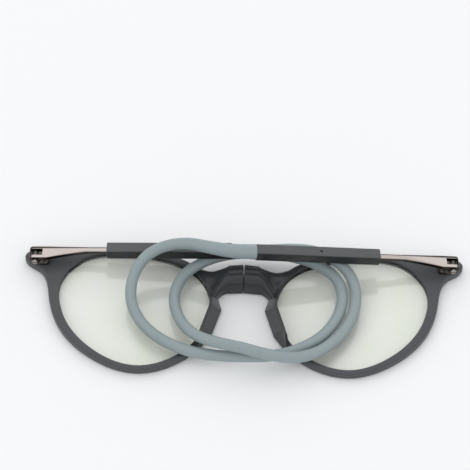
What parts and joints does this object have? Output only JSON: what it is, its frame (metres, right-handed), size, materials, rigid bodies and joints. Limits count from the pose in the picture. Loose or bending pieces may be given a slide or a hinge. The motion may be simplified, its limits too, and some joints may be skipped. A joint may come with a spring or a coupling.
{
  "type": "magnetic bridge reading glasses",
  "caption": "Reading glasses that part at a magnetic bridge, with folded sliding temples joined by a loose silicone neck cord.",
  "frame": {"origin": "on the split of the bridge at mid height of the lenses, on the plane of the rims' front faces, which is the middle of the underside as the glasses lie face down", "axes": "+X from the left half to the right half as seen from behind, +Y to the top edge of the frame, +Z from the front faces to the wearer's side"},
  "size_m": [0.1442, 0.0482, 0.0194],
  "materials": {
    "frame_plastic": "polished dark charcoal moulding",
    "lens_plastic": "clear lens with a pale green anti-glare coating",
    "magnet_plating": "bright nickel plate",
    "hinge_steel": "fine turned steel",
    "arm_metal": "satin warm gunmetal",
    "bush_plastic": "plain black bearing plastic",
    "sleeve_plastic": "satin dark charcoal moulding",
    "plug_metal": "turned brass",
    "cord_silicone": "matte grey silicone"
  },
  "bodies": {
    "left_front": {"left_half_front": "frame_plastic", "left_lens": "lens_plastic", "left_bridge_magnet": "magnet_plating", "left_hinge_plate": "hinge_steel", "left_hinge_rivets": "hinge_steel", "right_cord_run": "cord_silicone", "neck_cord": "cord_silicone", "left_cord_run": "cord_silicone"},
    "right_front": {"right_half_front": "frame_plastic", "right_lens": "lens_plastic", "right_bridge_magnet": "magnet_plating", "right_hinge_plate": "hinge_steel", "right_hinge_rivets": "hinge_steel"},
    "left_temple": {"left_temple_arm": "arm_metal", "left_rod_stop": "bush_plastic", "left_hinge_screw": "hinge_steel"},
    "right_temple": {"right_temple_arm": "arm_metal", "right_rod_stop": "bush_plastic", "right_hinge_screw": "hinge_steel"},
    "left_sleeve": {"left_temple_sleeve": "sleeve_plastic", "left_sleeve_collar": "bush_plastic", "left_stop_screw": "hinge_steel", "left_cord_plug": "plug_metal", "left_cord_end": "cord_silicone"},
    "right_sleeve": {"right_temple_sleeve": "sleeve_plastic", "right_sleeve_collar": "bush_plastic", "right_stop_screw": "hinge_steel", "right_cord_plug": "plug_metal", "right_cord_end": "cord_silicone"}
  },
  "joints": [
    {"name": "bridge_release", "type": "slide", "parent": "left_front", "child": "right_front", "axis": [1, 0, 0], "range_m": [0, 0.04], "deforming": ["right_cord_run", "neck_cord", "left_cord_run"]},
    {"name": "left_temple_hinge", "type": "hinge", "parent": "left_front", "child": "left_temple", "pos_m": [-0.0685, 0.01879, 0.0054], "axis": [0, -1, 0], "range_deg": [0, 86.5], "deforming": ["neck_cord", "left_cord_run"]},
    {"name": "right_temple_hinge", "type": "hinge", "parent": "right_front", "child": "right_temple", "pos_m": [0.0685, 0.01879, 0.0054], "axis": [0, 1, 0], "range_deg": [0, 81.2], "deforming": ["right_cord_run", "neck_cord"]},
    {"name": "left_sleeve_slide", "type": "slide", "parent": "left_temple", "child": "left_sleeve", "axis": [0.9984, -0.016, 0.055], "range_m": [0, 0.015], "deforming": ["left_cord_run"]},
    {"name": "right_sleeve_slide", "type": "slide", "parent": "right_temple", "child": "right_sleeve", "axis": [-0.984, -0.093, 0.1521], "range_m": [0, 0.015], "deforming": ["right_cord_run"]}
  ]
}
